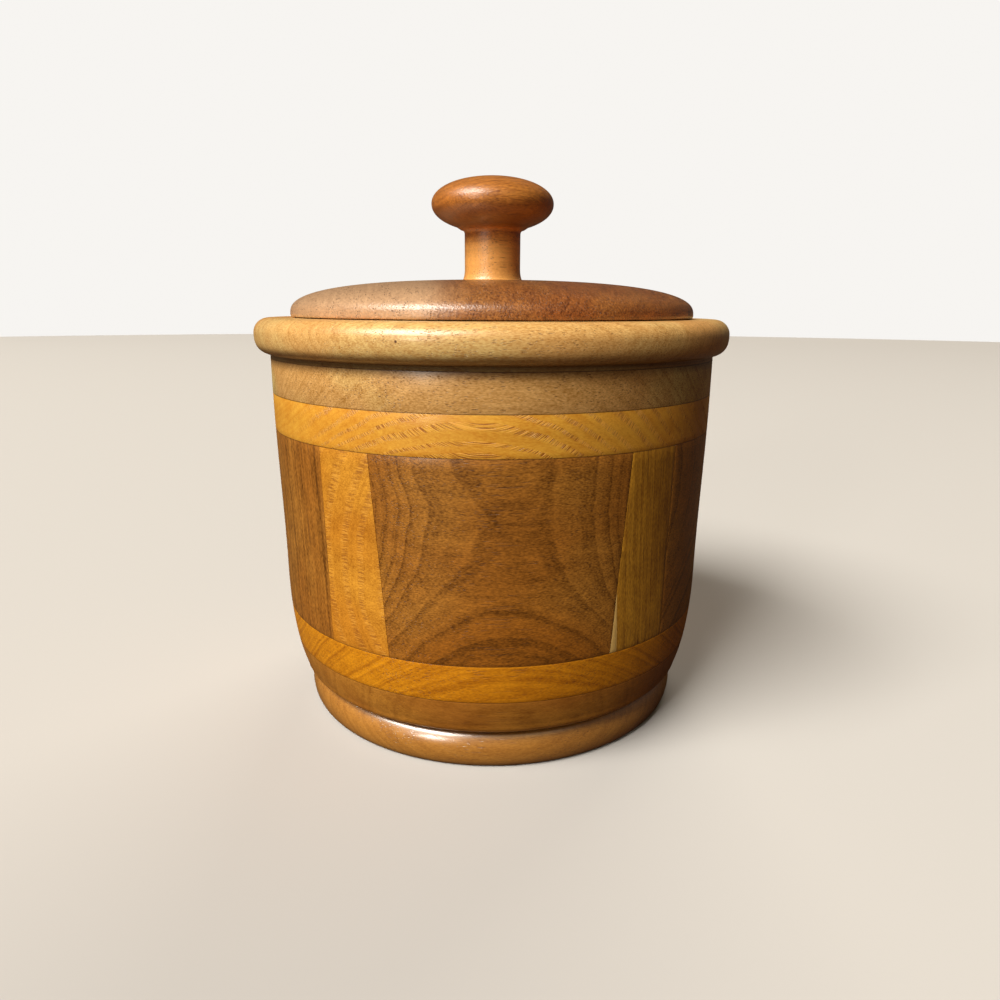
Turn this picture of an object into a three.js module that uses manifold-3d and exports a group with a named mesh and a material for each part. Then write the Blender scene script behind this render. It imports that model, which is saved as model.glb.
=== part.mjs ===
// Wooden canister with a lift-off lid, glued up from boards and staves and turned on a lathe.
// Millimetres, +Z up. The origin is on the axis at table height, and the front faces -Y.
import * as THREE from "three";
import { mergeVertices } from "three/addons/utils/BufferGeometryUtils.js";
import Module from "manifold-3d";

const wasm = await Module();
wasm.setup();

// Heights of the courses, from the table up
const footHeight = 12.9;
const baseHeight = 14.1;
const lowerBandHeight = 13.2;
const staveHeight = 65.4;
const yellowBandHeight = 12.8;
const upperBandHeight = 11.8;
const rimHeight = 13.5;

// Body: its radius at the waist, the wall there, and how far the outline swells and draws in
const bodyRadius = 79.4;
const wall = 11.4;
const neckFlare = 1.3;
const heelInset = 4.6;
const heelRound = 4;
const bellyHeight = 35.1;
const bellySweep = 60;

// Foot: a bead below a groove, standing on a flat ring with a shallow recess turned inside it
const grooveDepth = 6.4;
const footBeadReach = 4.2;
const footBeadCentre = 6.2;
const footToeIn = 2.8;
const standingRingWidth = 11.8;
const recessDepth = 2;
const recessChamfer = 1.5;

// Rim: a bead with a flat top, deeper below its widest line than above it
const rimOverhang = 5.1;
const rimShoulderRound = 4.4;
const rimUnderRound = 7.2;
const rimUnderDrop = 7.9;
const rimUnderSweep = 71;
const rimNeckGap = 1;
const mouthRound = 0.8;

// Floor inside
const floorThickness = 8.1;
const floorFillet = 5;

// Staves: a ring of wide dark ones with narrow light ones between, and a wedge-shaped one in front
const stavePairs = 5;
const darkStaveAngle = 56;
const frontSeamSlant = 3.9;
const glueLine = 0.3;

// Lid: a domed board that bears on the rim round the mouth, with a spigot that drops inside
const lidBearing = 1.6;
const lidEdgeHeight = 3;
const lidEdgeUndercut = 2.7;
const lidDomeHeight = 9.9;
const lidDomeSquareness = 2.7;
const spigotHeight = 6;
const spigotClearance = 0.6;
const spigotChamfer = 0.8;
const seatClearance = 0.3;

// Knob: a mushroom head on a waisted stem, with a round tenon glued into the lid
const stemRadius = 10.2;
const stemHeight = 17.9;
const stemFlare = 1.2;
const stemFlareHeight = 4.5;
const stemNeckRound = 1.5;
const headRadius = 22.1;
const headTopHeight = 9.3;
const headUnderHeight = 9.3;
const headUnderRadius = 13.2;
const headSquareness = 2.1;
const headWidestAboveStem = 8.6;
const tenonRadius = 6;
const tenonLength = 9;
const tenonClearance = 0.2;
const tenonEndGap = 0.8;

// Facets round the axis
const bodyFacets = 64;
const knobFacets = 40;

// Heights of the glue joints
const lowerBandBottom = footHeight + baseHeight;
const staveBottom = lowerBandBottom + lowerBandHeight;
const yellowBandBottom = staveBottom + staveHeight;
const upperBandBottom = yellowBandBottom + yellowBandHeight;
const rimBottom = upperBandBottom + upperBandHeight;
const rimTop = rimBottom + rimHeight;

// Radii that follow
const insideRadius = bodyRadius - wall;
const neckRadius = bodyRadius + neckFlare;
const rimRadius = neckRadius + rimOverhang;
const heelRadius = bodyRadius - heelInset;
const grooveRadius = heelRadius - grooveDepth;
const lidRadius = insideRadius + mouthRound + lidBearing + lidEdgeUndercut;
const stemFootRadius = stemRadius + stemFlare;

const degrees = (angle) => THREE.MathUtils.degToRad(angle);
const point = (radius, height) => new THREE.Vector2(radius, height);

// Points on an arc of an ellipse, both ends included
function arc(centre, radiusAcross, radiusUp, fromAngle, toAngle, steps) {
  const points = [];
  for (let step = 0; step <= steps; step++) {
    const angle = degrees(THREE.MathUtils.lerp(fromAngle, toAngle, step / steps));
    points.push(point(centre.x + radiusAcross * Math.cos(angle), centre.y + radiusUp * Math.sin(angle)));
  }
  return points;
}

// Points on a dome from its widest circle, left out, to an inner radius. It is an ellipse at
// squareness 2, and flatter with a tighter shoulder above that. A negative height hangs it down.
function dome(widestHeight, radius, height, squareness, innerRadius, steps) {
  const power = 2 / squareness;
  const lastAngle = Math.acos((innerRadius / radius) ** (1 / power));
  const points = [];
  for (let step = 1; step <= steps; step++) {
    const angle = (lastAngle * step) / steps;
    const across = Math.max(Math.cos(angle), 0) ** power;
    points.push(point(radius * across, widestHeight + height * Math.sin(angle) ** power));
  }
  return points;
}

// A solid turned about the vertical axis
function turn(profile, facets) {
  return new THREE.LatheGeometry(profile, facets).rotateX(Math.PI / 2);
}

function toSolid(geometry) {
  const bare = geometry.clone();
  bare.deleteAttribute("normal");
  bare.deleteAttribute("uv");
  const merged = mergeVertices(bare, 1e-4);
  return new wasm.Manifold(
    new wasm.Mesh({
      numProp: 3,
      vertProperties: Float32Array.from(merged.attributes.position.array),
      triVerts: Uint32Array.from(merged.index.array),
    })
  );
}

function toGeometry(solid) {
  const mesh = solid.getMesh();
  const geometry = new THREE.BufferGeometry();
  geometry.setAttribute("position", new THREE.BufferAttribute(mesh.vertProperties, 3));
  geometry.setIndex(new THREE.BufferAttribute(mesh.triVerts, 1));
  const flat = geometry.toNonIndexed();
  flat.computeVertexNormals();
  return flat;
}

function wood(color, roughness) {
  return new THREE.MeshStandardMaterial({ color, roughness, metalness: 0 });
}

const woods = {
  foot: wood(0xb97b45, 0.35),
  base: wood(0x875329, 0.4),
  lowerBand: wood(0xb5691f, 0.38),
  dark: wood(0x7e4e2c, 0.42),
  light: wood(0xbe7e34, 0.4),
  yellow: wood(0xcf8a2e, 0.38),
  pale: wood(0xc2935a, 0.36),
  lid: wood(0x9a6a48, 0.36),
  knob: wood(0xa85a2a, 0.33),
};

function piece(name, geometry, material) {
  const mesh = new THREE.Mesh(geometry, material);
  mesh.name = name;
  return mesh;
}

// The outline of the foot, from the axis out along the underside and up to the groove
function footOutline() {
  const beadRadius = grooveRadius + footBeadReach;
  const contactRadius = beadRadius - footToeIn;
  const recessRadius = contactRadius - standingRingWidth;
  return [
    point(0, recessDepth),
    point(recessRadius - recessChamfer, recessDepth),
    point(recessRadius, 0),
    ...arc(point(contactRadius, footBeadCentre), footToeIn, footBeadCentre, -90, 0, 4),
    ...arc(point(grooveRadius, footBeadCentre), footBeadReach, footHeight - footBeadCentre, 0, 90, 5).slice(1),
  ];
}

// The outline of the wall outside, from the groove up to the neck under the rim
function wallOutline() {
  const heel = arc(point(grooveRadius, footHeight + heelRound), grooveDepth, heelRound, -90, 0, 3);
  const bellyDepth = heelInset / (1 - Math.cos(degrees(bellySweep)));
  const bellyRise = bellyHeight / Math.sin(degrees(bellySweep));
  const waistHeight = footHeight + heelRound + bellyHeight;
  const belly = arc(point(bodyRadius - bellyDepth, waistHeight), bellyDepth, bellyRise, -bellySweep, 0, 7);
  const flareSteps = 5;
  const flare = [];
  for (let step = 1; step <= flareSteps; step++) {
    const share = step / flareSteps;
    const ease = THREE.MathUtils.smoothstep(share, 0, 1);
    const height = THREE.MathUtils.lerp(waistHeight, upperBandBottom, share);
    flare.push(point(THREE.MathUtils.lerp(bodyRadius, neckRadius, ease), height));
  }
  return [...heel.slice(1), ...belly.slice(1), ...flare, point(neckRadius, rimBottom + rimNeckGap)];
}

// The outline of the rim's bead and the edge of the mouth
function rimOutline() {
  const beadHeight = rimTop - rimShoulderRound;
  const underCentre = point(rimRadius - rimUnderRound, beadHeight);
  const shoulderCentre = point(rimRadius - rimShoulderRound, beadHeight);
  const mouthCentre = point(insideRadius + mouthRound, rimTop - mouthRound);
  return [
    ...arc(underCentre, rimUnderRound, rimUnderDrop, -rimUnderSweep, 0, 5),
    ...arc(shoulderCentre, rimShoulderRound, rimShoulderRound, 0, 90, 5).slice(1),
    ...arc(mouthCentre, mouthRound, mouthRound, 90, 180, 2),
  ];
}

// The outline of the hollow, from the mouth down to the middle of the floor
function hollowOutline() {
  const floorHeight = footHeight + floorThickness;
  const filletCentre = point(insideRadius - floorFillet, floorHeight + floorFillet);
  return [...arc(filletCentre, floorFillet, floorFillet, 0, -90, 4), point(0, floorHeight)];
}

// The glued-up body, turned inside and out to one closed outline
function turnedBody() {
  const outline = [...footOutline(), ...wallOutline(), ...rimOutline(), ...hollowOutline()];
  return toSolid(turn(outline, bodyFacets));
}

// The part of the body between two glue joints
const reach = 4 * rimRadius;
function course(body, bottom, height) {
  const slab = new THREE.BoxGeometry(reach, reach, height).translate(0, 0, bottom + height / 2);
  return body.intersect(toSolid(slab));
}

// Everything on one side of a stave seam: an upright plane through the axis at the seam's angle,
// counted from the front towards +X, which leans by the slant about its own mid-height
function besideSeam(angle, slant, side) {
  const block = new THREE.BoxGeometry(reach, reach, reach)
    .translate((side * (reach + glueLine)) / 2, -reach / 2, 0)
    .rotateY(degrees(slant))
    .rotateZ(degrees(angle))
    .translate(0, 0, staveBottom + staveHeight / 2);
  return toSolid(block);
}

// The staves, in turn round the ring. The front one is widest at the top, so its two seams lean.
function staves(body) {
  const ring = course(body, staveBottom, staveHeight);
  const pitch = 360 / stavePairs;
  const meshes = [];
  for (let pair = 0; pair < stavePairs; pair++) {
    const left = { angle: pair * pitch - darkStaveAngle / 2, slant: pair === 0 ? -frontSeamSlant : 0 };
    const right = { angle: pair * pitch + darkStaveAngle / 2, slant: pair === 0 ? frontSeamSlant : 0 };
    const nextSlant = pair === stavePairs - 1 ? -frontSeamSlant : 0;
    const dark = ring
      .intersect(besideSeam(left.angle, left.slant, 1))
      .intersect(besideSeam(right.angle, right.slant, -1));
    const light = ring
      .intersect(besideSeam(right.angle, right.slant, 1))
      .intersect(besideSeam(left.angle + pitch, nextSlant, -1));
    meshes.push(piece(`dark_stave_${pair + 1}`, toGeometry(dark), woods.dark));
    meshes.push(piece(`light_stave_${pair + 1}`, toGeometry(light), woods.light));
  }
  return meshes;
}

function canister() {
  const body = turnedBody();
  const board = (name, bottom, height, material) =>
    piece(name, toGeometry(course(body, bottom, height)), material);
  const group = new THREE.Group();
  group.add(
    board("foot", 0, footHeight, woods.foot),
    board("base_board", footHeight, baseHeight, woods.base),
    board("lower_band", lowerBandBottom, lowerBandHeight, woods.lowerBand),
    ...staves(body),
    board("yellow_band", yellowBandBottom, yellowBandHeight, woods.yellow),
    board("upper_band", upperBandBottom, upperBandHeight, woods.pale),
    board("rim", rimBottom, rimHeight, woods.pale)
  );
  return group;
}

// The lid's outline, with heights from the underside of its flange. It ends in the knob's mortise.
function lidOutline() {
  const spigotRadius = insideRadius - spigotClearance;
  const mortiseRadius = tenonRadius + tenonClearance;
  const top = dome(lidEdgeHeight, lidRadius, lidDomeHeight, lidDomeSquareness, stemFootRadius, 9);
  const seatHeight = top.at(-1).y;
  const mortiseFloor = seatHeight - tenonLength - tenonEndGap;
  return [
    point(0, -spigotHeight),
    point(spigotRadius - spigotChamfer, -spigotHeight),
    point(spigotRadius, spigotChamfer - spigotHeight),
    point(spigotRadius, 0),
    ...arc(point(lidRadius - lidEdgeUndercut, lidEdgeHeight), lidEdgeUndercut, lidEdgeHeight, -90, 0, 4),
    ...top,
    point(mortiseRadius, seatHeight),
    point(mortiseRadius, mortiseFloor),
    point(0, mortiseFloor),
  ];
}

// The knob's outline, with heights from the foot of its stem
function knobOutline() {
  const headHeight = stemHeight + headWidestAboveStem;
  const flareCentre = point(stemFootRadius, stemFlareHeight);
  const neckCentre = point(stemRadius + stemNeckRound, stemHeight - stemNeckRound);
  const under = dome(headHeight, headRadius, -headUnderHeight, headSquareness, headUnderRadius, 5);
  return [
    point(0, -tenonLength),
    point(tenonRadius, -tenonLength),
    point(tenonRadius, 0),
    ...arc(flareCentre, stemFlare, stemFlareHeight, -90, -180, 4),
    ...arc(neckCentre, stemNeckRound, stemNeckRound, 180, 90, 3),
    ...under.reverse(),
    point(headRadius, headHeight),
    ...dome(headHeight, headRadius, headTopHeight, headSquareness, 0, 8),
  ];
}

function lid() {
  const outline = lidOutline();
  const seatHeight = Math.max(...outline.map((p) => p.y));
  const knob = piece("knob", turn(knobOutline(), knobFacets), woods.knob);
  knob.position.z = seatHeight;
  const group = new THREE.Group();
  group.add(piece("lid", turn(outline, bodyFacets), woods.lid), knob);
  group.position.z = rimTop + seatClearance;
  return group;
}

const group = new THREE.Group();
group.add(canister(), lid());

export default group;
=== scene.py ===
from dataclasses import dataclass, replace
from functools import cached_property
from math import acos, copysign, cos, degrees, pi, radians, sin

import bmesh
import bpy
from mathutils import Matrix, Vector


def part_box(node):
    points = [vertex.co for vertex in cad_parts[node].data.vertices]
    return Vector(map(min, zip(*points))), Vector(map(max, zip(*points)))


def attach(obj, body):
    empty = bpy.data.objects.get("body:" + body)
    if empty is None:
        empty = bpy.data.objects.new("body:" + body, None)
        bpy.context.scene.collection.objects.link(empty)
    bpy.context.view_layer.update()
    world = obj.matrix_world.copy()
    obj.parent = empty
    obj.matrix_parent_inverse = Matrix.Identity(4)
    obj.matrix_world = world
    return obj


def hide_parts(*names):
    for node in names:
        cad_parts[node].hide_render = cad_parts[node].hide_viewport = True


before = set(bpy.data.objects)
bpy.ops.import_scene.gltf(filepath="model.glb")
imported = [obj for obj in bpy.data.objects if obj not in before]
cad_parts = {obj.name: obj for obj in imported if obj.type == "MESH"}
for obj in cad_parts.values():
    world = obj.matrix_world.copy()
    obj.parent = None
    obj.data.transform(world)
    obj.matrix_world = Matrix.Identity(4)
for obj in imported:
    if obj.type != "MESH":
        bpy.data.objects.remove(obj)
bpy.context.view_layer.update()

# A glued-up and turned wooden canister with a lift-off lid: the fine surface and finish of each
# board, and the studio round it. Sizes are millimetres in this script and metres in the meshes.
# Only the studio's own sizes are written in metres.
MM = 0.001


def top_of(node):
    """The height of a CAD node's top."""
    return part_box(node)[1].z / MM


def reach_of(node):
    """How far a CAD node reaches from the axis."""
    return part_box(node)[1].x / MM


def bore_of(node):
    """The smallest distance from the axis to a corner of a CAD node."""
    return min(v.co.xy.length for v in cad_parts[node].data.vertices) / MM


# What the frame gives: heights of the glue joints and radii of the turned outline
foot_top = top_of("foot")
base_top = top_of("base_board")
lower_band_top = top_of("lower_band")
stave_top = top_of("dark_stave_1")
yellow_band_top = top_of("yellow_band")
upper_band_top = top_of("upper_band")
rim_top = top_of("rim")
knob_top = top_of("knob")
lid_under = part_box("lid")[0].z / MM
bead_radius = reach_of("foot")
neck_radius = reach_of("yellow_band")
rim_radius = reach_of("rim")
lid_radius = reach_of("lid")
head_radius = reach_of("knob")
inside_radius = bore_of("upper_band")

# Body outline: the foot's bead, the heel above its groove, the belly and the flare to the neck
foot_bead_reach = 4.2
foot_bead_centre = 6.2
foot_toe_in = 2.8
recess_radius = 58.0
recess_depth = 2.0
recess_chamfer = 1.5
groove_radius = bead_radius - foot_bead_reach
groove_depth = 6.4
heel_round = 4.0
heel_inset = 4.6
heel_radius = groove_radius + groove_depth
waist_radius = heel_radius + heel_inset
belly_height = 35.1
belly_sweep = 60
waist_height = foot_top + heel_round + belly_height

# Rim outline
rim_shoulder_round = 5.2
rim_under_round = 7.2
rim_under_drop = 7.0
rim_under_squareness = 2.7
rim_under_sweep = 78
rim_neck_gap = 1.0
mouth_round = 0.8

# Floor inside
floor_thickness = 8.1
floor_height = foot_top + floor_thickness
floor_fillet = 5.0

# Staves
stave_pairs = 5
pair_angle = 360 / stave_pairs
dark_stave_angle = 56
front_seam_slant = 3.9
seam_gap = 0.12

# Lid and knob outlines, with heights from the CAD's lid upwards
spigot_height = 6.0
spigot_chamfer = 0.8
spigot_clearance = 0.6
spigot_radius = inside_radius - spigot_clearance
lid_seat = lid_under + spigot_height
lid_edge_height = 1.0
lid_edge_undercut = 0.5
lid_dome_height = 11.9
lid_dome_squareness = 2.6
stem_radius = 10.2
stem_height = 17.9
stem_flare = 1.2
stem_flare_height = 4.5
stem_neck_round = 1.5
stem_foot_radius = stem_radius + stem_flare
head_top_height = 9.3
head_under_height = 9.3
head_under_radius = 13.2
head_squareness = 2.1
head_widest_above_stem = 8.6
stem_foot = knob_top - head_top_height - head_widest_above_stem - stem_height
tenon_radius = 6.0
tenon_length = 9.0
mortise_clearance = 0.2
mortise_end_gap = 0.8

# How finely the round shapes are turned and sawn, and how far each board's arris is eased
turning_steps = 192
knob_steps = 128
weld_reach = 0.002
saw_slack = 0.001
arris = 0.07
arris_angle = radians(55)
crease_angle = radians(32)
lid_arris_radius = 20


def arc(centre, across, up, start, stop, steps, squareness=2.0):
    """Outline points on an arc of an ellipse, or of a squarer oval, from start to stop in degrees."""
    points = []
    for step in range(steps + 1):
        angle = radians(start + (stop - start) * step / steps)
        shares = [copysign(abs(part) ** (2 / squareness), part) for part in (cos(angle), sin(angle))]
        points.append((centre[0] + across * shares[0], centre[1] + up * shares[1]))
    return points


def dome(widest_height, radius, height, squareness, inner_radius, steps):
    """Outline points of a dome from its widest circle, left out, to an inner radius."""
    last = degrees(acos((inner_radius / radius) ** (squareness / 2)))
    return arc((0, widest_height), radius, height, 0, last, steps, squareness)[1:]


def flare_outline(steps):
    """The wall from the waist to the neck, upright at both ends."""
    points = []
    for step in range(1, steps + 1):
        share = step / steps
        eased = share * share * (3 - 2 * share)
        radius = waist_radius + (neck_radius - waist_radius) * eased
        points.append((radius, waist_height + (yellow_band_top - waist_height) * share))
    return points


def foot_outline():
    """The shallow recess underneath and the half-round bead."""
    contact = groove_radius + foot_bead_reach - foot_toe_in
    bead_rise = foot_top - foot_bead_centre
    return [
        (0, recess_depth),
        (recess_radius - recess_chamfer, recess_depth),
        (recess_radius, 0),
        *arc((contact, foot_bead_centre), foot_toe_in, foot_bead_centre, -90, 0, steps=12),
        *arc((groove_radius, foot_bead_centre), foot_bead_reach, bead_rise, 0, 90, steps=14)[1:],
    ]


def wall_outline():
    """The heel, the belly up to the waist, and the wall up to the rim."""
    heel = arc((groove_radius, foot_top + heel_round), groove_depth, heel_round, -90, 0, steps=8)
    belly_depth = heel_inset / (1 - cos(radians(belly_sweep)))
    belly_rise = belly_height / sin(radians(belly_sweep))
    belly_centre = (waist_radius - belly_depth, waist_height)
    belly = arc(belly_centre, belly_depth, belly_rise, -belly_sweep, 0, steps=20)
    neck_end = (neck_radius, upper_band_top + rim_neck_gap)
    return [*heel[1:], *belly[1:], *flare_outline(steps=12), neck_end]


def rim_outline():
    """The rim's overhanging bead and its rounded mouth."""
    bead_height = rim_top - rim_shoulder_round
    under = (rim_radius - rim_under_round, bead_height)
    shoulder = (rim_radius - rim_shoulder_round, bead_height)
    mouth = (inside_radius + mouth_round, rim_top - mouth_round)
    bead = arc(
        under,
        rim_under_round,
        rim_under_drop,
        -rim_under_sweep,
        0,
        steps=18,
        squareness=rim_under_squareness,
    )
    return [
        *bead,
        *arc(shoulder, rim_shoulder_round, rim_shoulder_round, 0, 90, steps=12)[1:],
        *arc(mouth, mouth_round, mouth_round, 90, 180, steps=4),
    ]


def hollow_outline():
    """The bottom of the hollow, from the wall to the middle of the floor."""
    fillet = (inside_radius - floor_fillet, floor_height + floor_fillet)
    return [*arc(fillet, floor_fillet, floor_fillet, 0, -90, steps=8), (0, floor_height)]


def lid_outline():
    """The spigot, the domed top and the mortise for the knob."""
    mortise_radius = tenon_radius + mortise_clearance
    mortise_floor = stem_foot - tenon_length - mortise_end_gap
    edge = (lid_radius - lid_edge_undercut, lid_seat + lid_edge_height)
    return [
        (0, lid_under),
        (spigot_radius - spigot_chamfer, lid_under),
        (spigot_radius, lid_under + spigot_chamfer),
        (spigot_radius, lid_seat),
        *arc(edge, lid_edge_undercut, lid_edge_height, -90, 0, steps=10),
        *dome(edge[1], lid_radius, lid_dome_height, lid_dome_squareness, stem_foot_radius, steps=36),
        (mortise_radius, stem_foot),
        (mortise_radius, mortise_floor),
        (0, mortise_floor),
    ]


def knob_outline():
    """The tenon, the flared stem and the mushroom head."""
    stem_top = stem_foot + stem_height
    head_height = stem_top + head_widest_above_stem
    flare = (stem_foot_radius, stem_foot + stem_flare_height)
    neck = (stem_radius + stem_neck_round, stem_top - stem_neck_round)
    under = dome(
        head_height,
        head_radius,
        -head_under_height,
        head_squareness,
        head_under_radius,
        steps=14,
    )
    return [
        (0, stem_foot - tenon_length),
        (tenon_radius, stem_foot - tenon_length),
        (tenon_radius, stem_foot),
        *arc(flare, stem_flare, stem_flare_height, -90, -180, steps=10),
        *arc(neck, stem_neck_round, stem_neck_round, 180, 90, steps=6),
        *reversed(under),
        (head_radius, head_height),
        *dome(head_height, head_radius, head_top_height, head_squareness, 0, steps=28),
    ]


def turn(outline, steps):
    """A solid turned about the upright axis from an outline in millimetres."""
    solid = bmesh.new()
    corners = [solid.verts.new((across * MM, 0, up * MM)) for across, up in outline]
    edges = [solid.edges.new(pair) for pair in zip(corners, corners[1:])]
    bmesh.ops.spin(
        solid,
        geom=corners + edges,
        axis=(0, 0, 1),
        cent=(0, 0, 0),
        angle=2 * pi,
        steps=steps,
        use_merge=True,
    )
    bmesh.ops.remove_doubles(solid, verts=solid.verts, dist=weld_reach * MM)
    bmesh.ops.recalc_face_normals(solid, faces=solid.faces)
    return solid


def saw(solid, place, waste_side):
    """Cuts a solid on the plane through a place and throws away what lies on the waste side."""
    bmesh.ops.bisect_plane(
        solid,
        geom=[*solid.verts, *solid.edges, *solid.faces],
        dist=saw_slack * MM,
        plane_co=place,
        plane_no=waste_side,
        clear_outer=True,
    )


def cap(solid, height):
    """Closes a sawn board at one height: a disc in one ring of open edges, or a face between two."""
    level = height * MM
    slack = saw_slack * MM
    open_edges = [e for e in solid.edges if e.is_boundary]
    edges = [e for e in open_edges if all(abs(v.co.z - level) < slack for v in e.verts)]
    radii = {round(e.verts[0].co.xy.length / MM, 2) for e in edges}
    if len(radii) > 1:
        bmesh.ops.bridge_loops(solid, edges=edges)
    elif edges:
        bmesh.ops.edgeloop_fill(solid, edges=edges)


def sharp_edges(solid):
    """The edges of a solid that need their arris eased."""
    solid.normal_update()
    return [e for e in solid.edges if len(e.link_faces) == 2 and e.calc_face_angle(0) > arris_angle]


def ease(solid, edges):
    """Takes the sharp arris off some edges."""
    bmesh.ops.bevel(
        solid,
        geom=edges,
        offset=arris * MM,
        offset_type="OFFSET",
        segments=2,
        profile=0.5,
        affect="EDGES",
        material=-1,
        clamp_overlap=True,
    )


def board(blank, bottom, top):
    """The part of the turned blank between two glue joints, with its arrises eased."""
    solid = blank.copy()
    if bottom > 0:
        saw(solid, (0, 0, bottom * MM), (0, 0, -1))
    if top < rim_top:
        saw(solid, (0, 0, top * MM), (0, 0, 1))
    for height in (bottom, top):
        cap(solid, height)
    bmesh.ops.recalc_face_normals(solid, faces=solid.faces)
    ease(solid, sharp_edges(solid))
    return solid


def stave(blank, left, right, left_slant, right_slant):
    """A stave between two seams, at angles from the front towards +X, which lean by their slants."""
    solid = blank.copy()
    saw(solid, (0, 0, lower_band_top * MM), (0, 0, -1))
    saw(solid, (0, 0, stave_top * MM), (0, 0, 1))
    middle = Vector((0, 0, (lower_band_top + stave_top) / 2 * MM))
    for angle, slant, side in ((left, left_slant, -1), (right, right_slant, 1)):
        turn_seam = Matrix.Rotation(radians(angle), 3, "Z") @ Matrix.Rotation(radians(slant), 3, "Y")
        outward = turn_seam @ Vector((side, 0, 0))
        saw(solid, middle - outward * seam_gap / 2 * MM, outward)
    for height in (lower_band_top, stave_top):
        cap(solid, height)
    bmesh.ops.holes_fill(solid, edges=[e for e in solid.edges if e.is_boundary])
    bmesh.ops.recalc_face_normals(solid, faces=solid.faces)
    ease(solid, sharp_edges(solid))
    return solid


def finish_piece(solid, node, body, material):
    """Makes a solid the piece that stands for a CAD node, smooth but for its creases."""
    solid.normal_update()
    for face in solid.faces:
        face.smooth = True
    for edge in solid.edges:
        if len(edge.link_faces) == 2:
            edge.smooth = edge.calc_face_angle(0) < crease_angle
    name = f"{node}_turned"
    mesh = bpy.data.meshes.new(name)
    solid.to_mesh(mesh)
    solid.free()
    piece = bpy.data.objects.new(name, mesh)
    bpy.context.scene.collection.objects.link(piece)
    mesh.materials.append(material)
    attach(piece, body)
    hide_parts(node)


def srgb(code):
    """A linear colour from a hexadecimal sRGB code."""
    shares = [int(code[start:start + 2], 16) / 255 for start in (1, 3, 5)]
    linear = [s / 12.92 if s < 0.04045 else ((s + 0.055) / 1.055) ** 2.4 for s in shares]
    return (*linear, 1)


class Recipe:
    """Short calls that add and join the nodes of one material or of the surround."""

    def __init__(self, tree):
        self.tree = tree
        self.tree.nodes.clear()

    def add(self, kind, values=None, **settings):
        """A new node with its settings, and values or other nodes' outputs fed to its sockets."""
        node = self.tree.nodes.new(kind)
        for setting, choice in settings.items():
            setattr(node, setting, choice)
        for socket, value in (values or {}).items():
            self.feed(node.inputs[socket], value)
        return node

    def feed(self, socket, value):
        """Joins an output to a socket, or sets the socket's own value."""
        if isinstance(value, bpy.types.NodeSocket):
            self.tree.links.new(value, socket)
        else:
            socket.default_value = value

    def calc(self, operation, *values):
        """The result of a sum with numbers."""
        return self.add("ShaderNodeMath", dict(enumerate(values)), operation=operation).outputs[0]

    def vector(self, operation, *values):
        """The result of a sum with vectors."""
        node = self.add("ShaderNodeVectorMath", dict(enumerate(values)), operation=operation)
        return node.outputs["Value" if operation == "LENGTH" else "Vector"]

    @cached_property
    def place(self):
        """The place on the piece, in metres."""
        return self.add("ShaderNodeTexCoord").outputs["Object"]

    @cached_property
    def place_parts(self):
        """The three coordinates of the place on the piece, in metres."""
        return self.add("ShaderNodeSeparateXYZ", {"Vector": self.place}).outputs

    def place_along(self, axis):
        """One coordinate of the place on the piece, in millimetres."""
        return self.calc("DIVIDE", self.place_parts[axis], MM)

    def stretched(self, vector, along, across):
        """A place in the wood, counted in cloud lengths along the fibre and widths across it."""
        return self.vector("MULTIPLY", vector, (1 / along, 1 / across, 1 / across))

    def drift(self, vector, reach):
        """A cloudy shift across the fibre."""
        values = {"Vector": vector, "Scale": 1.0, "Detail": 1.0}
        cloud = self.add("ShaderNodeTexNoise", values, noise_dimensions="3D").outputs["Color"]
        centred = self.vector("SUBTRACT", cloud, (0.5, 0.5, 0.5))
        return self.vector("MULTIPLY", centred, (0, reach, reach))

    def noise(self, vector, detail=2.0, roughness=0.5):
        """Clouds in the solid wood, about one half in the middle."""
        values = {"Vector": vector, "Scale": 1.0, "Detail": detail, "Roughness": roughness}
        return self.add("ShaderNodeTexNoise", values, noise_dimensions="3D").outputs["Fac"]

    def noise_along(self, value, detail=2.0, roughness=0.5):
        """Clouds that follow one value."""
        values = {"W": value, "Scale": 1.0, "Detail": detail, "Roughness": roughness}
        return self.add("ShaderNodeTexNoise", values, noise_dimensions="1D").outputs["Fac"]

    def between(self, value, low=0.0, high=1.0, to_low=0.0, to_high=1.0, kind="SMOOTHSTEP"):
        """A value's way from low to high, as its way from to_low to to_high, held at both ends."""
        values = {"Value": value, "From Min": low, "From Max": high, "To Min": to_low, "To Max": to_high}
        return self.add("ShaderNodeMapRange", values, interpolation_type=kind).outputs["Result"]

    def blend(self, share, first, second):
        """A colour that goes from the first to the second with the share."""
        node = self.add("ShaderNodeMix", {"Factor": share}, data_type="RGBA")
        sockets = {socket.identifier: socket for socket in (*node.inputs, *node.outputs)}
        self.feed(sockets["A_Color"], first)
        self.feed(sockets["B_Color"], second)
        return sockets["Result_Color"]


def new_material(name):
    """An empty material and the recipe that fills it."""
    material = bpy.data.materials.new(name)
    material.use_nodes = True
    return material, Recipe(material.node_tree)


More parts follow.
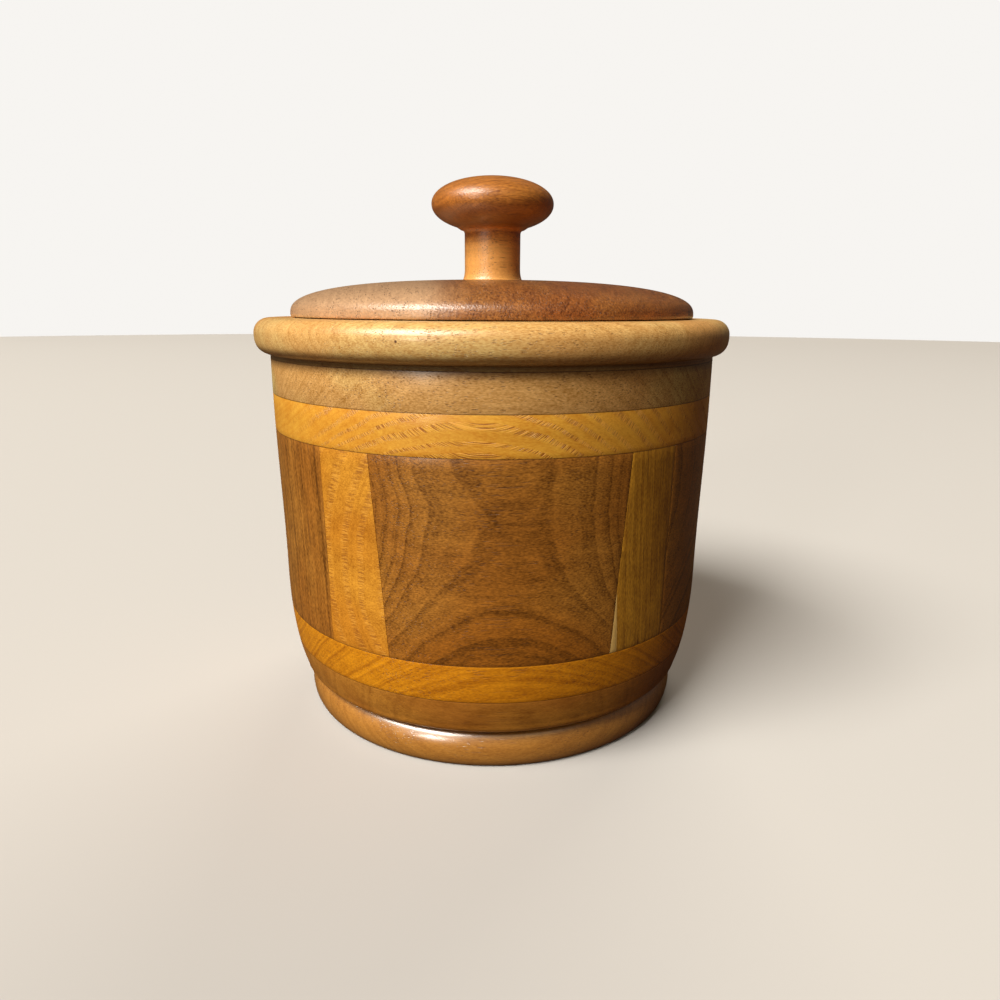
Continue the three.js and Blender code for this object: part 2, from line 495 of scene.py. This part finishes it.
@dataclass
class Timber:
    """One kind of wood, with lengths in millimetres.

    A ring is darker, by its depth, at its inner edge and fades outwards, steeply where its power is
    high. Bands, streaks, mottle and specks are clouds of figure, each with a strength, and wander and
    ripple are how far the fibres stray. The outer colour is that of the wood far from the pith, such
    as sapwood, whose figure is calmer by a share. A timber with a ridge colour has its pores in rows
    along the rings, with ridges between them, and any other has scattered pores. Where rows bow,
    their strokes rise to both sides of a middle, and fade from full to faint on one side of it.
    """

    light: str
    dark: str
    patch: str
    pore: str
    ridge: str = ""
    outer: str = ""
    outer_calm: float = 0.6
    ring_width: float = 3.5
    ring_depth: float = 0.4
    ring_power: float = 1.5
    banding: float = 0.25
    streak: float = 0.3
    mottle: float = 0.15
    speck: float = 0.25
    speck_size: float = 0.36
    patch_share: float = 0.3
    wander: float = 3.0
    ripple: float = 0.6
    pore_pitch: float = 0.7
    pore_length: float = 30.0
    pore_size: float = 0.32
    pore_shade: float = 0.6
    pore_depth: float = 0.07
    grain_depth: float = 0.01
    row_depth: float = 2.0
    row_bow: float = 0.0
    row_middle: float = 0.0
    row_fade: tuple = ()
    roughness: float = 0.4
    gloss: float = 0.5
    coat: float = 0.3
    coat_roughness: float = 0.25
    coat_ior: float = 1.5


@dataclass
class Log:
    """How a board lay in its log: a point on the pith, the fibre's turn about Z and its tilt.

    The ring edges and the edge of the outer wood are distances from the pith. A knot is a place on
    the board and a radius.
    """

    pith: tuple
    turn: float = 0.0
    tilt: float = 0.0
    ring_edges: tuple = ()
    outer_edge: float = 0.0
    outer_blur: float = 0.0
    seed: float = 0.0
    knots: tuple = ()


@dataclass
class ShadedCorner:
    """An inner corner of the turned outline, where shade is painted into the wood's colour."""

    height: float
    radius: float
    reach: float


# How long and how wide the clouds of the figure are, along and across the fibre, and their contrast
bands_per_millimetre = 0.8
streaks_per_millimetre = 0.9
streak_size = (45, 1 / streaks_per_millimetre)
wander_size = (60, 26)
ripple_size = (11, 6)
mottle_size = (9, 5)
patch_size = (70, 30)
pore_crowd_size = (40, 3)
speck_slimness = 0.3
cloud_contrast = 4

# How far along the fibre one seed moves the figure
seed_shift = 300

# Rings are unevenly wide: in a spell of so many ring widths, they shift by up to so many
uneven_spell = 3
uneven_shift = 4
ring_edge_blur = 0.12

# Cloud values between which patches grow, and pores grow from their smallest to their largest
patch_clouds = (0.4, 0.62)
crowd_clouds = (0.32, 0.62)

# A pore's size as a share of its timber's, once by chance and once by how crowded its place is
smallest_pore = 0.5
largest_pore = 1.2

# How soft a pore's edge is, and how much rougher a pore is than the wood round it
pore_edge = 0.16
pore_roughness = 0.2

# Across a ring, the tooth falls from one to nought. These are its values where the ring's dark edge,
# and the inner and the outer side of a row of pores, start and are full.
ring_edge_fade = (1.0, 0.95)
row_inner_fade = (1.0, 0.93)
row_outer_fade = (0.5, 0.74)

# Cloud values between which a row's strokes grow into pores or into the ridges between them
pore_strokes = (0.5, 0.36)
ridge_strokes = (0.5, 0.66)

# What is left of rows of pores where they are faint, and a knot's core as a share of its radius
faint_rows = 0.15
knot_core = 0.4

# Dark lines where boards are glued, and painted shade in the corners under the rim, the heel and
# the head: darker wood colour that stands in for shadow there. The painted shade starts and is full
# so far inside a corner's radius.
old_glue = "#4a2608"
painted_shade_color = "#3c1c04"
glue_line_reach = 0.26
glue_line_shade = 0.75
corner_shade = 0.75
corner_start = 4
corner_full = 1
head_shade_spread = 1.5
under_rim = ShadedCorner(upper_band_top + rim_neck_gap, neck_radius, reach=3.6)
under_heel = ShadedCorner(foot_top, groove_radius, reach=2.0)
under_head = ShadedCorner(stem_foot + stem_height, head_under_radius + head_shade_spread, reach=8.0)


def fibre_space(recipe, log, timber):
    """Millimetres in the log, with x along fibres that wander and ripple a little."""
    mapping = recipe.add("ShaderNodeMapping", {"Vector": recipe.place}, vector_type="TEXTURE")
    mapping.inputs["Location"].default_value = [MM * value for value in log.pith]
    mapping.inputs["Rotation"].default_value = (0, radians(-log.tilt), radians(log.turn))
    mapping.inputs["Scale"].default_value = (MM, MM, MM)
    straight = recipe.vector("ADD", mapping.outputs["Vector"], (log.seed * seed_shift, 0, 0))
    wander = recipe.drift(recipe.stretched(straight, *wander_size), timber.wander)
    ripple = recipe.drift(recipe.stretched(straight, *ripple_size), timber.ripple)
    return recipe.vector("ADD", straight, recipe.vector("ADD", wander, ripple))


def ring_tooth(recipe, across, timber, log):
    """One just outside each ring edge, falling to nought at the next."""
    if log.ring_edges:
        return measured_rings(recipe, across, log.ring_edges)
    spell = recipe.calc("DIVIDE", across, timber.ring_width * uneven_spell)
    uneven = recipe.noise_along(spell, detail=1.0)
    across = recipe.calc("MULTIPLY_ADD", uneven, timber.ring_width * uneven_shift, across)
    ring_part = recipe.calc("FRACT", recipe.calc("DIVIDE", across, timber.ring_width))
    tooth = recipe.calc("SUBTRACT", 1.0, ring_part)
    return recipe.calc("MULTIPLY", tooth, recipe.between(tooth, *ring_edge_fade))


def measured_rings(recipe, across, ring_edges):
    """The tooth of rings whose edges are known, on one colour ramp."""
    first, last = ring_edges[0], ring_edges[-1]
    ramp = recipe.add("ShaderNodeValToRGB", {"Fac": recipe.between(across, first, last, kind="LINEAR")})
    stops = ramp.color_ramp.elements
    stops[0].color = (1, 1, 1, 1)
    stops[1].color = (0, 0, 0, 1)
    for edge in ring_edges[1:-1]:
        for shift, tone in ((-ring_edge_blur, 0.0), (ring_edge_blur, 1.0)):
            stop = stops.new((edge + shift - first) / (last - first))
            stop.color = (tone, tone, tone, 1)
    return ramp.outputs["Color"]


def figure_shade(recipe, fibre, across, tooth, specks, timber):
    """How dark the wood is between its pores, about one half on the whole."""
    bands = recipe.noise_along(
        recipe.calc("MULTIPLY", across, bands_per_millimetre), detail=3.0, roughness=0.6
    )
    streaks = recipe.noise(recipe.stretched(fibre, *streak_size), detail=4.0, roughness=0.7)
    mottle = recipe.noise(recipe.stretched(fibre, *mottle_size))
    ring = recipe.calc("POWER", tooth, timber.ring_power)
    middle = 0.5 - timber.ring_depth / (timber.ring_power + 1)
    shade = recipe.calc("MULTIPLY_ADD", ring, timber.ring_depth, middle)
    for cloud, strength in (
        (bands, timber.banding),
        (streaks, timber.streak),
        (mottle, timber.mottle),
        (specks, timber.speck),
    ):
        centred = recipe.calc("SUBTRACT", cloud, 0.5)
        shade = recipe.calc("MULTIPLY_ADD", centred, strength * cloud_contrast, shade)
    return shade


def bare_color(recipe, fibre, across, shade, log, timber):
    """The wood's colour between its pores, with its patches and its outer wood."""
    clouds = recipe.noise(recipe.stretched(fibre, *patch_size))
    patches = recipe.calc("MULTIPLY", recipe.between(clouds, *patch_clouds), timber.patch_share)
    light = recipe.blend(patches, srgb(timber.light), srgb(timber.patch))
    if log.outer_edge:
        start, full = log.outer_edge - log.outer_blur, log.outer_edge + log.outer_blur
        beyond = recipe.between(across, start, full)
        light = recipe.blend(beyond, light, srgb(timber.outer))
        figure_left = recipe.calc("MULTIPLY_ADD", beyond, -timber.outer_calm, 1.0)
        shade = recipe.calc("MULTIPLY", shade, figure_left)
    return recipe.blend(recipe.between(shade, kind="LINEAR"), light, srgb(timber.dark))


def scattered_pores(recipe, fibre, timber):
    """The open pores: tubes along the fibre, cut by the surface as lines, dashes or dots."""
    place = recipe.stretched(fibre, timber.pore_length, timber.pore_pitch)
    cells = recipe.add("ShaderNodeTexVoronoi", {"Vector": place, "Scale": 1.0}, feature="F1")
    own = recipe.add("ShaderNodeSeparateColor", {"Color": cells.outputs["Color"]})
    size = recipe.between(
        own.outputs["Red"],
        to_low=timber.pore_size * smallest_pore,
        to_high=timber.pore_size * largest_pore,
        kind="LINEAR",
    )
    clouds = recipe.noise(recipe.stretched(fibre, *pore_crowd_size))
    crowd = recipe.between(clouds, *crowd_clouds, smallest_pore, largest_pore, kind="LINEAR")
    size = recipe.calc("MULTIPLY", size, crowd)
    depth = recipe.calc("SUBTRACT", size, cells.outputs["Distance"])
    return recipe.between(depth, high=pore_edge)


def pore_rows(recipe, fibre, across, tooth, timber):
    """Close rows of short coarse pores just outside each ring edge, and the ridges between them."""
    outer_side = recipe.between(tooth, *row_outer_fade)
    inner_side = recipe.between(tooth, *row_inner_fade)
    in_row = recipe.calc("MULTIPLY", outer_side, inner_side)
    parts = recipe.add("ShaderNodeSeparateXYZ", {"Vector": fibre})
    level = parts.outputs["Z"]
    if timber.row_bow:
        sideways = recipe.calc("SUBTRACT", recipe.place_along("X"), timber.row_middle)
        rise = recipe.calc("DIVIDE", recipe.calc("POWER", sideways, 2.0), -2 * timber.row_bow)
        level = recipe.calc("ADD", level, rise)
        faint, full = timber.row_fade
        fade = recipe.between(sideways, faint, full, to_low=faint_rows)
        in_row = recipe.calc("MULTIPLY", in_row, fade)
    sockets = {"X": parts.outputs["X"], "Y": across, "Z": level}
    place = recipe.add("ShaderNodeCombineXYZ", sockets).outputs["Vector"]
    pitch = (1 / timber.pore_length, 1 / timber.row_depth, 1 / timber.pore_pitch)
    strokes = recipe.noise(recipe.vector("MULTIPLY", place, pitch), detail=1.0)
    pore = recipe.calc("MULTIPLY", in_row, recipe.between(strokes, *pore_strokes))
    ridge = recipe.calc("MULTIPLY", in_row, recipe.between(strokes, *ridge_strokes))
    return pore, ridge


def knot_marks(recipe, knots):
    """One inside small round knots, nought outside them."""
    marks = 0.0
    for *centre, radius in knots:
        away = recipe.vector("SUBTRACT", recipe.place, [MM * value for value in centre])
        mark = recipe.between(recipe.vector("LENGTH", away), radius * MM, radius * knot_core * MM)
        marks = recipe.calc("MAXIMUM", marks, mark)
    return marks


def glue_lines(recipe, color, joints):
    """The wood's colour with the dark lines of the glue joints at some heights."""
    height = recipe.place_along("Z")
    for joint in joints:
        away = recipe.calc("ABSOLUTE", recipe.calc("SUBTRACT", height, joint))
        line = recipe.between(away, low=glue_line_reach, high=0.0, to_high=glue_line_shade)
        color = recipe.blend(line, color, srgb(old_glue))
    return color


def painted_corner_shade(recipe, color, corner):
    """The wood's colour with painted shade in an inner corner, and none inside the wall."""
    height = recipe.place_along("Z")
    away = recipe.calc("ABSOLUTE", recipe.calc("SUBTRACT", height, corner.height))
    near = recipe.between(away, low=corner.reach, high=0.0, to_high=corner_shade, kind="LINEAR")
    from_axis = recipe.vector("LENGTH", recipe.vector("MULTIPLY", recipe.place, (1, 1, 0)))
    start, full = corner.radius - corner_start, corner.radius - corner_full
    outside = recipe.between(from_axis, start * MM, full * MM)
    return recipe.blend(recipe.calc("MULTIPLY", outside, near), color, srgb(painted_shade_color))


def wood(name, timber, log, joints=(), corner=None):
    """A clear-finished board sawn from a log: rings, fibres and pores run through the solid wood."""
    material, recipe = new_material(name)
    fibre = fibre_space(recipe, log, timber)
    across = recipe.vector("LENGTH", recipe.vector("MULTIPLY", fibre, (0, 1, 1)))
    tooth = ring_tooth(recipe, across, timber, log)
    speck_place = recipe.stretched(fibre, timber.speck_size / speck_slimness, timber.speck_size)
    specks = recipe.noise(speck_place, detail=1.0)

    shade = figure_shade(recipe, fibre, across, tooth, specks, timber)
    color = bare_color(recipe, fibre, across, shade, log, timber)
    if timber.ridge:
        pore, ridge = pore_rows(recipe, fibre, across, tooth, timber)
        color = recipe.blend(recipe.calc("MULTIPLY", ridge, timber.pore_shade), color, srgb(timber.ridge))
        relief = recipe.calc("SUBTRACT", ridge, pore)
    else:
        pore = scattered_pores(recipe, fibre, timber)
        relief = recipe.calc("MULTIPLY", pore, -1.0)
    color = recipe.blend(recipe.calc("MULTIPLY", pore, timber.pore_shade), color, srgb(timber.pore))
    if log.knots:
        color = recipe.blend(knot_marks(recipe, log.knots), color, srgb(timber.pore))
    if joints:
        color = glue_lines(recipe, color, joints)
    # Painted shade: the wood's colour darkens in an inner corner, in place of shadow
    if corner:
        color = painted_corner_shade(recipe, color, corner)

    grain = recipe.calc("MULTIPLY", specks, timber.grain_depth * MM)
    relief = recipe.calc("MULTIPLY_ADD", relief, timber.pore_depth * MM, grain)
    bump = recipe.add("ShaderNodeBump", {"Height": relief, "Strength": 1.0, "Distance": 1.0})
    finish = {
        "Base Color": color,
        "Roughness": recipe.calc("MULTIPLY_ADD", pore, pore_roughness, timber.roughness),
        "Normal": bump.outputs["Normal"],
        "Coat Weight": timber.coat,
        "Coat Roughness": timber.coat_roughness,
        "Coat IOR": timber.coat_ior,
        "Coat Normal": bump.outputs["Normal"],
        "Specular IOR Level": timber.gloss,
    }
    shader = recipe.add("ShaderNodeBsdfPrincipled", finish)
    recipe.add("ShaderNodeOutputMaterial", {"Surface": shader.outputs["BSDF"]})
    return material


def flat_board(node, bottom, top, timber, log, corner=None):
    """Saws one flat board out of the blank and finishes it, with its glue lines at its joints and painted
    shade in its inner corner, if it has one.
    """
    joints = [height for height in (bottom, top) if 0 < height < rim_top]
    material = wood(node, timber, log, joints, corner)
    finish_piece(board(blank, bottom, top), node, "canister", material)


def stave_piece(node, left, right, left_slant, right_slant, timber, log):
    """Saws one stave out of the blank and finishes it, with its glue lines at its ends."""
    material = wood(node, timber, log, joints=(lower_band_top, stave_top))
    solid = stave(blank, left, right, left_slant, right_slant)
    finish_piece(solid, node, "canister", material)


walnut = Timber(
    light="#cc8a36",
    dark="#623808",
    patch="#b86e22",
    pore="#341804",
    outer="#b87020",
    outer_calm=0.0,
    ring_depth=0.32,
    ring_power=5.0,
    banding=0.18,
    streak=0.18,
    speck=0.34,
    patch_share=0.6,
    pore_pitch=0.5,
    pore_size=0.3,
    pore_shade=0.45,
    pore_depth=0.03,
)
brown = replace(
    walnut,
    light="#e09a3c",
    dark="#8a5010",
    patch="#c07028",
    ring_depth=0.1,
    banding=0.1,
    streak=0.2,
    speck=0.16,
    pore_shade=0.25,
)
ring_porous_ash = Timber(
    light="#ffc44a",
    dark="#cc7c18",
    patch="#ffac38",
    pore="#964a08",
    ridge="#ffb84c",
    ring_depth=-0.1,
    banding=0.12,
    streak=0.16,
    speck=0.2,
    wander=1.4,
    ripple=1.0,
    pore_pitch=0.26,
    pore_length=8.0,
    pore_shade=0.8,
    pore_depth=0.03,
    row_depth=3.0,
    row_bow=24.0,
    row_middle=-9.0,
    row_fade=(-62.0, -38.0),
)
honey = replace(
    ring_porous_ash,
    light="#fab03a",
    dark="#a86410",
    patch="#e08c24",
    pore="#8a4a10",
    ridge="#f8b44c",
    mottle=0.2,
    speck=0.3,
    patch_share=0.6,
    pore_pitch=0.3,
    pore_length=4.0,
    pore_shade=0.5,
    pore_depth=0.015,
    row_bow=0.0,
)
olive_honey = Timber(
    light="#e8a834",
    dark="#7a4408",
    patch="#c08020",
    pore="#5a2c04",
    outer="#f0c878",
    ring_width=3.2,
    ring_depth=0.25,
    banding=0.16,
    streak=0.24,
    wander=0.15,
    ripple=0.05,
    pore_size=0.3,
    pore_shade=0.4,
    pore_depth=0.04,
)
orange = Timber(
    light="#fca81c",
    dark="#ac620a",
    patch="#e68c12",
    pore="#6a3204",
    ring_depth=0.14,
    streak=0.22,
    speck=0.26,
    pore_pitch=0.4,
    pore_size=0.36,
    pore_shade=0.45,
    pore_depth=0.04,
)
russet = Timber(
    light="#e8a444",
    dark="#a8681c",
    patch="#d48838",
    pore="#6a3a10",
    ring_depth=0.2,
    banding=0.12,
    streak=0.2,
    speck=0.26,
    pore_pitch=0.5,
    pore_size=0.28,
    pore_depth=0.03,
    roughness=0.3,
    gloss=1.0,
    coat=1.0,
    coat_roughness=0.27,
    coat_ior=2.6,
)
pale = Timber(
    light="#ffe694",
    dark="#b07a34",
    patch="#f2ac66",
    pore="#643810",
    ring_depth=0.16,
    ring_power=3.0,
    banding=0.12,
    streak=0.16,
    speck=0.38,
    patch_share=0.7,
    pore_pitch=0.45,
    pore_length=2.5,
    pore_depth=0.06,
)
rim_wood = replace(
    pale,
    light="#ffdc8e",
    dark="#c48840",
    patch="#fcb86a",
    pore_pitch=0.36,
    pore_size=0.3,
    pore_shade=0.5,
    roughness=0.36,
    gloss=0.7,
    coat_roughness=0.2,
)
lid_wood = Timber(
    light="#bc7c3c",
    dark="#582808",
    patch="#a4521c",
    pore="#422008",
    outer="#dcb084",
    ring_width=6.0,
    ring_depth=0.1,
    banding=0.12,
    streak=0.16,
    speck=0.36,
    speck_size=0.6,
    patch_share=0.5,
    pore_pitch=0.5,
    pore_length=5.0,
    pore_size=0.34,
    pore_depth=0.08,
    grain_depth=0.11,
    coat=1.0,
    coat_roughness=0.34,
)
knob_wood = Timber(
    light="#e89840",
    dark="#84440e",
    patch="#c06a20",
    pore="#5e2c0c",
    outer="#ffb860",
    ring_depth=0.2,
    banding=0.12,
    streak=0.2,
    speck=0.26,
    speck_size=0.5,
    pore_pitch=0.5,
    pore_size=0.3,
    pore_depth=0.03,
    grain_depth=0.1,
    coat=1.0,
    coat_roughness=0.36,
)

# Where rings end in the boards that show them best, as distances from the pith
yellow_ring_edges = (44, 50, 55.5, 60, 63.5, 67, 70.3, 74.6, 77.5, 79.8, 82, 85, 87.2, 90, 96, 102, 108)
front_ring_edges = (120, 127.5, 129.3, 131, 132.5, 134.4, 137.8, 141.6, 144.6, 156)
left_ring_edges = (84, 88, 92, 96.5, 100, 104.7, 111, 116, 121)

# Small knots and stains on the rim and the lid: places and radii
rim_knots = ((-29.5, -80.5, 138.4, 0.55), (-26.8, -80.9, 136.3, 0.3))
lid_knots = (
    (64.3, -34.3, 145.8, 1.8),
    (25.5, -58.4, 153.4, 0.8),
    (38.8, -57.2, 151.8, 0.7),
    (46.3, -54, 150.7, 1.0),
)

# The flat boards and the staves are all sawn out of one turned blank
blank = turn([*foot_outline(), *wall_outline(), *rim_outline(), *hollow_outline()], turning_steps)

foot_log = Log(pith=(0, 40, -60), seed=1.0)
base_log = Log(pith=(0, 30, 60), seed=2.0)
lower_log = Log(pith=(0, 20, 110), tilt=3, seed=3.0)
yellow_log = Log(pith=(0, -11.5, 160.5), turn=-1.5, tilt=-7.6, ring_edges=yellow_ring_edges, seed=4.0)
upper_log = Log(pith=(0, 30, 190), seed=5.0)
rim_log = Log(pith=(0, 40, 100), seed=6.0, knots=rim_knots)

# The foot, base board, upper band and rim get painted shade in the corners under the heel and the rim
flat_board("foot", 0, foot_top, russet, foot_log, under_heel)
flat_board("base_board", foot_top, base_top, brown, base_log, under_heel)
flat_board("lower_band", base_top, lower_band_top, orange, lower_log)
flat_board("yellow_band", stave_top, yellow_band_top, ring_porous_ash, yellow_log)
flat_board("upper_band", yellow_band_top, upper_band_top, pale, upper_log, under_rim)
flat_board("rim", upper_band_top, rim_top, rim_wood, rim_log, under_rim)

# The staves stand in pairs of a dark and a light one, from the front towards +X. The pair in front
# and the last one, on its left, have logs of their own. The front stave is redder far from the
# pith, and the light one on its right has a wedge of sapwood at its lower end.
front_pair = 0
last_pair = stave_pairs - 1
walnut_pith = (0, 58.2, 94.4)
honey_pith = (30, 20, 70)
dark_seed_step = 1.7
light_seed_step = 2.3
dark_logs = {
    front_pair: Log(
        pith=walnut_pith,
        turn=1.4,
        tilt=0.8,
        ring_edges=front_ring_edges,
        outer_edge=140.5,
        outer_blur=4,
    ),
    last_pair: Log(pith=(-20, -95, 50), turn=-72, tilt=91.5, seed=3.7),
}
light_logs = {
    front_pair: Log(
        pith=(94.7, -28.2, 50),
        turn=36,
        tilt=93.6,
        outer_edge=71.1,
        outer_blur=0.2,
        seed=0.6,
    ),
    last_pair: Log(pith=(0, -163.5, 66), ring_edges=left_ring_edges),
}

# The front dark stave is widest at the top, so its two seams lean
for pair in range(stave_pairs):
    left = pair * pair_angle - dark_stave_angle / 2
    right = pair * pair_angle + dark_stave_angle / 2
    slant = front_seam_slant if pair == front_pair else 0
    next_slant = -front_seam_slant if pair == last_pair else 0
    usual_dark = Log(walnut_pith, turn=pair * pair_angle, seed=pair * dark_seed_step)
    usual_light = Log(honey_pith, turn=(pair + 0.5) * pair_angle, seed=pair * light_seed_step)
    dark_log = dark_logs.get(pair, usual_dark)
    light_log = light_logs.get(pair, usual_light)
    light_timber = olive_honey if pair == front_pair else honey
    dark_name = f"dark_stave_{pair + 1}"
    light_name = f"light_stave_{pair + 1}"
    stave_piece(dark_name, left, right, -slant, slant, walnut, dark_log)
    next_left = left + pair_angle
    stave_piece(
        light_name, right, next_left, slant, next_slant, light_timber, light_log
    )
blank.free()

# The lid, eased at its edges but not round the mortise, and the knob
lid_log = Log(pith=(58, 0, 110), turn=100, outer_edge=93.0, outer_blur=7.5, seed=8.0, knots=lid_knots)
lid = turn(lid_outline(), turning_steps)
ease(lid, [e for e in sharp_edges(lid) if e.verts[0].co.xy.length > lid_arris_radius * MM])
finish_piece(lid, "lid", "lid", wood("lid", lid_wood, lid_log))

knob_log = Log(pith=(0, 2, 215), turn=20, outer_edge=45, outer_blur=3, seed=9.0)
knob = turn(knob_outline(), knob_steps)
# The knob gets painted shade under its head
finish_piece(knob, "knob", "lid", wood("knob", knob_wood, knob_log, corner=under_head))

# The studio, in metres. The floor and the surround look pale, but light the canister dimly and
# warmly. They enter mirror reflections at a small share only: nothing here is metal or glass, and
# their full paleness would veil the dark wood in grey.
floor_radius = 4
floor_corners = 96
floor_seen = (0.59, 0.575, 0.555, 1)
floor_glow = (0.04, 0.018, 0.005, 1)
surround_seen = (0.93, 0.91, 0.88, 1)
surround_glow = (0.022, 0.012, 0.005, 1)
mirror_share = 0.04
lamp_distance = 14
lamp_aim_height = 0.09


def pale_where_seen(recipe, seen, glow):
    """The seen colour for the camera, through glass and a little in reflections, else the glow."""
    path = recipe.add("ShaderNodeLightPath")
    plain = recipe.calc("MAXIMUM", path.outputs["Is Camera Ray"], path.outputs["Is Transmission Ray"])
    mirrored = recipe.calc("MULTIPLY", path.outputs["Is Glossy Ray"], mirror_share)
    return recipe.blend(recipe.calc("MAXIMUM", plain, mirrored), glow, seen)


def studio_floor():
    """A plain pale floor far wider than the object."""
    solid = bmesh.new()
    bmesh.ops.create_circle(solid, cap_ends=True, segments=floor_corners, radius=floor_radius)
    mesh = bpy.data.meshes.new("floor")
    solid.to_mesh(mesh)
    solid.free()
    floor = bpy.data.objects.new("floor", mesh)
    bpy.context.scene.collection.objects.link(floor)
    material, recipe = new_material("floor")
    color = pale_where_seen(recipe, floor_seen, floor_glow)
    values = {"Base Color": color, "Roughness": 1.0, "Specular IOR Level": 0.0}
    shader = recipe.add("ShaderNodeBsdfPrincipled", values)
    recipe.add("ShaderNodeOutputMaterial", {"Surface": shader.outputs["BSDF"]})
    mesh.materials.append(material)


def surround():
    """A pale surround that gives a dim warm light."""
    world = bpy.data.worlds.new("studio")
    world.use_nodes = True
    recipe = Recipe(world.node_tree)
    color = pale_where_seen(recipe, surround_seen, surround_glow)
    background = recipe.add("ShaderNodeBackground", {"Color": color})
    recipe.add("ShaderNodeOutputWorld", {"Surface": background.outputs[0]})
    bpy.context.scene.world = world


def lamp(name, azimuth, elevation, size, level, color):
    """A soft lamp aimed at the middle of the canister, at an azimuth from the front towards +X.

    Its level is how strongly it lights the canister, whatever its size and distance.
    """
    light = bpy.data.lights.new(name, "AREA")
    light.shape = "RECTANGLE"
    light.size, light.size_y = size
    light.energy = level * pi * pi * lamp_distance * lamp_distance
    light.color = color
    holder = bpy.data.objects.new(name, light)
    around, up = radians(azimuth), radians(elevation)
    reach = Vector((sin(around) * cos(up), -cos(around) * cos(up), sin(up)))
    holder.location = Vector((0, 0, lamp_aim_height)) + reach * lamp_distance
    holder.rotation_euler = reach.to_track_quat("Z", "Y").to_euler()
    bpy.context.scene.collection.objects.link(holder)
    return holder


def studio_light():
    """A key lamp and a small low one in front on the left, a weak one on the right and one behind.

    The lamp behind is kept out of mirror reflections, where it would bleach the lid's top at a
    grazing angle.
    """
    lamp("key", azimuth=-50, elevation=48, size=(8.4, 6.5), level=1.55, color=(1.0, 0.95, 0.87))
    lamp("window", azimuth=-36, elevation=12, size=(1.9, 2.6), level=0.15, color=(1.0, 0.95, 0.88))
    lamp("fill", azimuth=20, elevation=40, size=(10.7, 7.0), level=0.03, color=(1.0, 0.8, 0.5))
    back = lamp("back", azimuth=160, elevation=34, size=(9.4, 7.0), level=0.5, color=(1.0, 0.9, 0.76))
    back.visible_glossy = False


def photo_camera():
    """The photograph's camera: close to the canister, a little above its rim."""
    lens = bpy.data.cameras.new("camera")
    lens.sensor_width = 36
    lens.lens = 27.04
    lens.clip_start = 0.01
    camera = bpy.data.objects.new("camera", lens)
    camera.location = Vector((-11.64, -289.77, 147.8)) * MM
    heading = Matrix.Rotation(radians(-2.94), 4, "Z")
    pitch = Matrix.Rotation(pi / 2 - radians(14.45), 4, "X")
    roll = Matrix.Rotation(radians(0.31), 4, "Z")
    camera.rotation_euler = (heading @ pitch @ roll).to_euler()
    bpy.context.scene.collection.objects.link(camera)
    bpy.context.scene.camera = camera


studio_floor()
surround()
studio_light()
photo_camera()
bpy.context.scene.view_settings.view_transform = "Standard"
